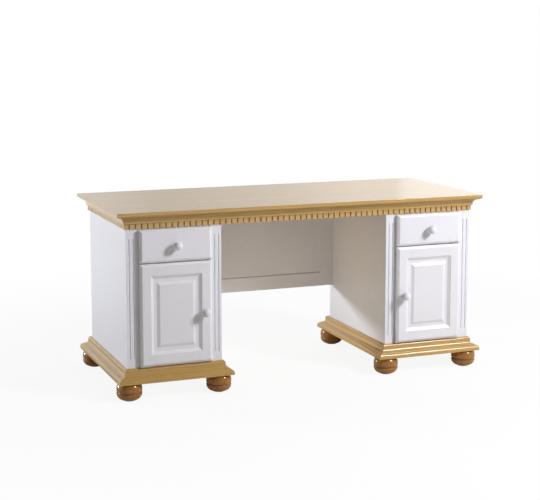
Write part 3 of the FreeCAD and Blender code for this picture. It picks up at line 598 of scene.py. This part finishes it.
# Stage: a white floor that keeps a faint shadow, and a white sweep behind with a darker room in front
stage = {
    "white": (1, 1, 1, 1), "fullStrength": 1.0,
    "floorSize": 40.0, "floorSeen": (0.95, 0.95, 0.95, 1), "floorBounce": (0.80, 0.785, 0.75, 1),
    "floorRoughness": 0.9, "nearGlow": 0.9, "nearMirrorGlow": 0.0, "glowFrom": 1.0, "glowTo": 2.6,
    "ambient": (1.0, 0.97, 0.75, 1), "ambientStrength": 0.123,
    "roomGloss": 0.12, "roomUpTo": -0.25, "sweepFrom": 0.1,
    "sweep": {0.20: 0.95, 0.29: 0.66, 0.34: 0.74, 0.44: 1.0},  # place from left to right: glow
}


def rayKinds(tree):
    rays = addNode(tree, "ShaderNodeLightPath").outputs
    return rays["Is Camera Ray"], calc(tree, "MAXIMUM", rays["Is Glossy Ray"], rays["Is Transmission Ray"])


def makeFloor():
    bpy.ops.object.select_all(action="DESELECT")
    bpy.ops.mesh.primitive_plane_add(size=stage["floorSize"])
    floor = bpy.context.object
    floor.name = "studioFloor"
    material, tree, shader = newMaterial("studioFloorWhite")
    setSockets(shader, {"Roughness": stage["floorRoughness"], "Specular IOR Level": 0.0})
    reach = addNode(tree, "ShaderNodeVectorMath", {0: objectPlace(tree)},
                    operation="LENGTH").outputs["Value"]
    seenGlow, mirrorGlow = [
        addNode(tree, "ShaderNodeMapRange", {"Value": reach, "From Min": stage["glowFrom"],
                                             "From Max": stage["glowTo"], "To Min": stage[near]}).outputs[0]
        for near in ("nearGlow", "nearMirrorGlow")]
    cameraRay, mirrored = rayKinds(tree)
    colour = mixColours(tree, cameraRay, stage["floorBounce"], stage["floorSeen"])
    tree.links.new(colour, shader.inputs["Base Color"])
    seen = calc(tree, "MULTIPLY", cameraRay, seenGlow)
    share = calc(tree, "MAXIMUM", seen, calc(tree, "MULTIPLY", mirrored, mirrorGlow))
    glow = addNode(tree, "ShaderNodeEmission", {"Color": stage["white"], "Strength": stage["fullStrength"]})
    mix = addNode(tree, "ShaderNodeMixShader", {0: share, 1: shader.outputs[0], 2: glow.outputs[0]})
    tree.links.new(mix.outputs[0], tree.nodes["Material Output"].inputs["Surface"])
    floor.data.materials.append(material)


def makeWorld():
    world = bpy.data.worlds.new("studioSweep")
    bpy.context.scene.world = world
    world.use_nodes = True
    tree = world.node_tree
    tree.nodes.clear()
    direction = addNode(tree, "ShaderNodeTexCoord").outputs["Generated"]
    parts = addNode(tree, "ShaderNodeSeparateXYZ", {0: direction}).outputs
    ramp = addNode(tree, "ShaderNodeValToRGB", {"Fac": parts["X"]})
    ramp.color_ramp.interpolation = "EASE"
    stops = ramp.color_ramp.elements
    while len(stops) < len(stage["sweep"]):
        stops.new(1.0)
    for stop, (place, glow) in zip(stops, stage["sweep"].items()):
        stop.position = place
        stop.color = (glow, glow, glow, 1)
    backdrop = ramp.outputs["Color"]
    sweep = addNode(tree, "ShaderNodeMapRange",
                    {"Value": parts["Y"], "From Min": stage["roomUpTo"], "From Max": stage["sweepFrom"],
                     "To Min": stage["roomGloss"], "To Max": backdrop}).outputs[0]
    cameraRay, mirrored = rayKinds(tree)
    soft, gloss, white = [
        addNode(tree, "ShaderNodeBackground", {"Color": colour, "Strength": strength}).outputs[0]
        for colour, strength in ((stage["ambient"], stage["ambientStrength"]), (stage["white"], sweep),
                                 (stage["white"], stage["fullStrength"]))]
    unseen = addNode(tree, "ShaderNodeMixShader", {0: mirrored, 1: soft, 2: gloss}).outputs[0]
    shown = addNode(tree, "ShaderNodeMixShader", {0: cameraRay, 1: unseen, 2: white})
    output = addNode(tree, "ShaderNodeOutputWorld")
    tree.links.new(shown.outputs[0], output.inputs["Surface"])


lamps = {
    "keyRight": {
        "place": (2.2, -2.7, 2.65), "aim": (0.0, -0.3, 0.45), "power": 138.0, "size": (1.1, 1.1),
        "spread": 180, "colour": (0.97, 0.96, 1.0), "highlights": True},
    "fillBackLeft": {
        "place": (-5.46, 4.27, 1.3), "aim": (0.0, 0.0, 0.45), "power": 323.0, "size": (1.1, 1.0),
        "spread": 180, "colour": (0.90, 0.93, 1.0), "highlights": True},
    "topSoft": {
        "place": (0.9, 0.9, 2.2), "aim": (0.3, 0.05, 0.75), "power": 8.0, "size": (1.6, 1.0),
        "spread": 140, "colour": (1.0, 0.97, 0.92), "highlights": False},
    "glowBackRight": {
        "place": (3.87, 3.94, 1.43), "aim": (0.6, 0.0, 0.75), "power": 3.6, "size": (2.4, 1.6),
        "spread": 180, "colour": (0.97, 0.98, 1.0), "highlights": True},
    "kneeLeft": {
        "place": (-0.33, -0.04, 0.3), "aim": (0.36, -0.04, 0.42), "power": 0.21, "size": (0.45, 0.35),
        "spread": 90, "colour": (1.0, 0.85, 0.52), "highlights": False},
    "kneeRight": {
        "place": (0.33, -0.04, 0.3), "aim": (-0.36, -0.04, 0.42), "power": 0.21, "size": (0.45, 0.35),
        "spread": 90, "colour": (1.0, 0.85, 0.52), "highlights": False},
}


def makeLamps():
    for name, lamp in lamps.items():
        light = bpy.data.lights.new(name, "AREA")
        light.shape = "ELLIPSE"
        light.size, light.size_y = lamp["size"]
        light.energy = lamp["power"]
        light.color = lamp["colour"]
        light.spread = math.radians(lamp["spread"])
        holder = bpy.data.objects.new(name, light)
        bpy.context.collection.objects.link(holder)
        holder.location = lamp["place"]
        backward = Vector(lamp["place"]) - Vector(lamp["aim"])
        holder.rotation_euler = backward.to_track_quat("Z", "Y").to_euler()
        holder.visible_camera = False
        holder.visible_glossy = lamp["highlights"]


# Camera: left of the middle at head height, with the frame shifted down a little
shot = {"place": (-2.0738, -5.2034, 1.4777), "pitch": 7.649, "yaw": -21.29, "focalPixels": 1323.5,
        "imageWidth": 540, "frameDrop": 50, "sensor": 36.0}


def makeCamera():
    data = bpy.data.cameras.new("photoCamera")
    data.sensor_width = shot["sensor"]
    data.lens = shot["focalPixels"] * shot["sensor"] / shot["imageWidth"]
    data.shift_y = -shot["frameDrop"] / shot["imageWidth"]
    camera = bpy.data.objects.new("photoCamera", data)
    bpy.context.collection.objects.link(camera)
    camera.location = shot["place"]
    camera.rotation_euler = (math.radians(90 - shot["pitch"]), 0, math.radians(shot["yaw"]))
    bpy.context.scene.camera = camera


makeFloor()
makeWorld()
makeLamps()
makeCamera()
bpy.context.scene.view_settings.view_transform = "Standard"
print("stage, lamps and camera ready")
